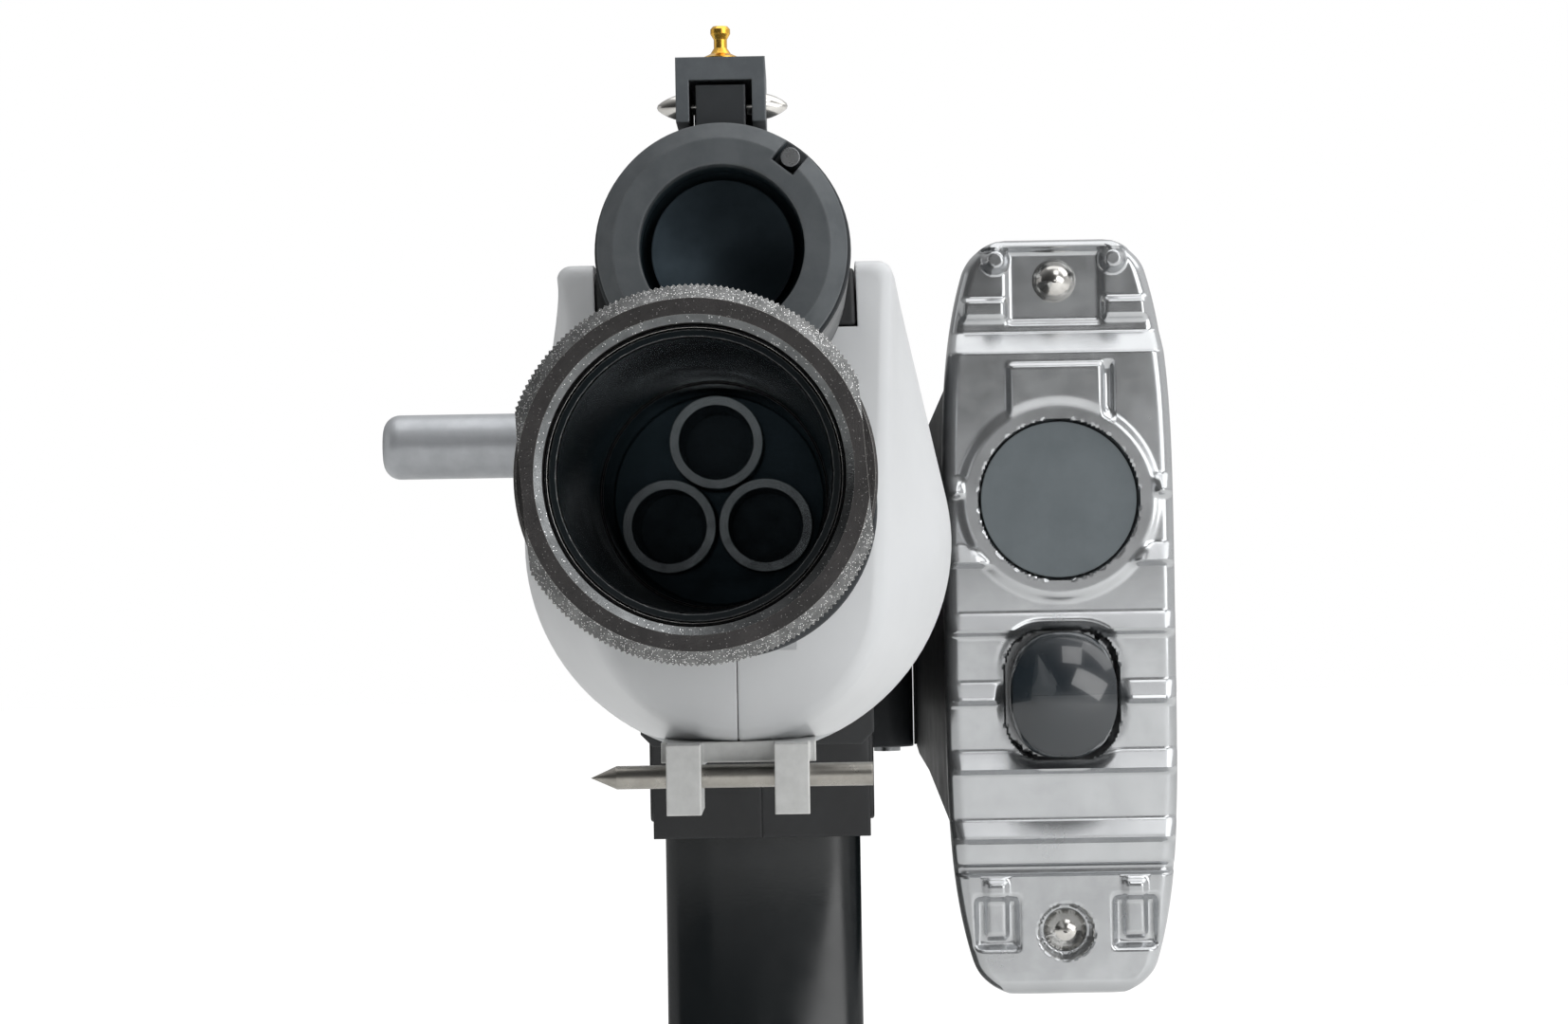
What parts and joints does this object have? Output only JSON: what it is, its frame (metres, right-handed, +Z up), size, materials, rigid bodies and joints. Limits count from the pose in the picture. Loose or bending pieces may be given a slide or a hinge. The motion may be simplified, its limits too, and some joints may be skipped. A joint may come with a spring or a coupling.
{
  "type": "toy pellet gun",
  "caption": "Non-firing display replica of a long toy pellet gun with a knurled muzzle collar, box magazine and side-folded stock.",
  "frame": {"origin": "bore axis at the front face of the barrel's tip", "axes": "+X to the gun's left side, +Y back from the muzzle to the stock's fold, +Z up"},
  "size_m": [0.1384, 0.658, 0.2178],
  "materials": {
    "collar_black": "matt blasted charcoal, bright knurl tips",
    "barrel_black": "gloss black bore and barrel",
    "block_black": "satin black coated metal",
    "plug_grey": "matt dark grey",
    "tube_metal": "dull grey metal",
    "plain_steel": "plain steel",
    "spring_steel": "drawn spring wire",
    "bright_screw": "bright domed screw",
    "dark_screw": "darkened screw",
    "bead_brass": "polished brass bead",
    "sling_nickel": "satin nickel",
    "fore_end_grey": "smooth pale grey satin plastic",
    "shell_black": "fine-textured black plastic",
    "lever_grey": "satin grey metal",
    "control_black": "satin black control",
    "butt_grey": "semi-gloss ribbed grey",
    "disc_slate": "matt slate disc",
    "knob_black": "gloss black knob"
  },
  "bodies": {
    "gun": {"outer_barrel": "barrel_black", "pellet_tubes": "tube_metal", "tube_holder": "shell_black", "gas_block": "block_black", "gas_block_pins": "plain_steel", "gas_plug": "plug_grey", "detent_spring": "spring_steel", "sight_saddle": "block_black", "sight_screws": "bright_screw", "sight_bead": "bead_brass", "upper_cover": "block_black", "fore_end_left": "fore_end_grey", "fore_end_right": "fore_end_grey", "fore_end_screws": "dark_screw", "sling_bracket": "sling_nickel", "bracket_screws": "plain_steel", "sling_rod": "sling_nickel", "trunnion": "block_black", "receiver_left": "shell_black", "receiver_right": "shell_black", "receiver_screws": "dark_screw", "top_cover": "block_black", "rear_sight_base": "block_black", "rear_sight_pin": "plain_steel", "spring_guide": "plain_steel", "return_spring": "spring_steel", "catch_pin": "plain_steel", "catch_spring": "spring_steel", "trigger_pin": "plain_steel", "trigger_spring": "spring_steel", "trigger_guard": "block_black", "grip": "shell_black", "grip_screw": "plain_steel", "hinge_block": "block_black", "hinge_pin": "plain_steel", "latch_spring": "spring_steel"},
    "collar": {"muzzle_collar": "collar_black"},
    "detent": {"plug_detent": "plain_steel"},
    "sight_leaf": {"rear_sight_leaf": "block_black"},
    "lever": {"lever_carrier": "block_black", "charging_lever": "lever_grey"},
    "magazine": {"magazine_shell": "shell_black", "magazine_floor": "shell_black"},
    "catch": {"magazine_catch": "control_black"},
    "trigger": {"trigger": "control_black"},
    "safety": {"safety_lever": "control_black"},
    "stock": {"stock_inner": "shell_black", "stock_outer": "shell_black", "stock_screws": "dark_screw", "butt_plate": "butt_grey", "butt_screws": "bright_screw", "butt_disc": "disc_slate", "knob_spring": "spring_steel"},
    "knob": {"butt_knob": "knob_black"},
    "latch": {"latch_button": "control_black"}
  },
  "joints": [
    {"name": "collar_turn", "type": "hinge", "parent": "gun", "child": "collar", "pos_m": [0, 0, 0], "axis": [0, -1, 0], "range_deg": [0, 360]},
    {"name": "detent_press", "type": "slide", "parent": "gun", "child": "detent", "axis": [0, 1, 0], "range_m": [0, 0.005], "stiffness_N_per_m": 400, "springref_m": -0.001, "deforming": ["detent_spring"]},
    {"name": "sight_leaf_lift", "type": "hinge", "parent": "gun", "child": "sight_leaf", "pos_m": [0, 0.388, 0.041], "axis": [1, 0, 0], "range_deg": [0, 30]},
    {"name": "charging_slide", "type": "slide", "parent": "gun", "child": "lever", "axis": [0, 1, 0], "range_m": [0, 0.06], "stiffness_N_per_m": 60, "springref_m": -0.03, "deforming": ["return_spring"]},
    {"name": "magazine_pull", "type": "slide", "parent": "gun", "child": "magazine", "axis": [0, 0, -1], "range_m": [0, 0.06]},
    {"name": "catch_swing", "type": "hinge", "parent": "gun", "child": "catch", "pos_m": [0, 0.5115, -0.047], "axis": [-1, 0, 0], "range_deg": [0, 14], "stiffness_Nm_per_rad": 0.05, "springref_deg": -11.46, "deforming": ["catch_spring"]},
    {"name": "trigger_pull", "type": "hinge", "parent": "gun", "child": "trigger", "pos_m": [0, 0.545, -0.028], "axis": [1, 0, 0], "range_deg": [0, 12], "stiffness_Nm_per_rad": 0.08, "springref_deg": -11.46, "deforming": ["trigger_spring"]},
    {"name": "safety_turn", "type": "hinge", "parent": "gun", "child": "safety", "pos_m": [-0.019, 0.59, -0.008], "axis": [-1, 0, 0], "range_deg": [0, 40]},
    {"name": "stock_fold", "type": "hinge", "parent": "gun", "child": "stock", "pos_m": [0.0262, 0.65, -0.008], "axis": [0, 0, 1], "range_deg": [0, 180]},
    {"name": "knob_press", "type": "slide", "parent": "stock", "child": "knob", "axis": [0, 1, 0], "range_m": [0, 0.003], "stiffness_N_per_m": 500, "springref_m": -0.001, "deforming": ["knob_spring"]},
    {"name": "latch_press", "type": "slide", "parent": "gun", "child": "latch", "axis": [0, 0, -1], "range_m": [0, 0.0025], "stiffness_N_per_m": 500, "springref_m": -0.001, "deforming": ["latch_spring"]}
  ]
}
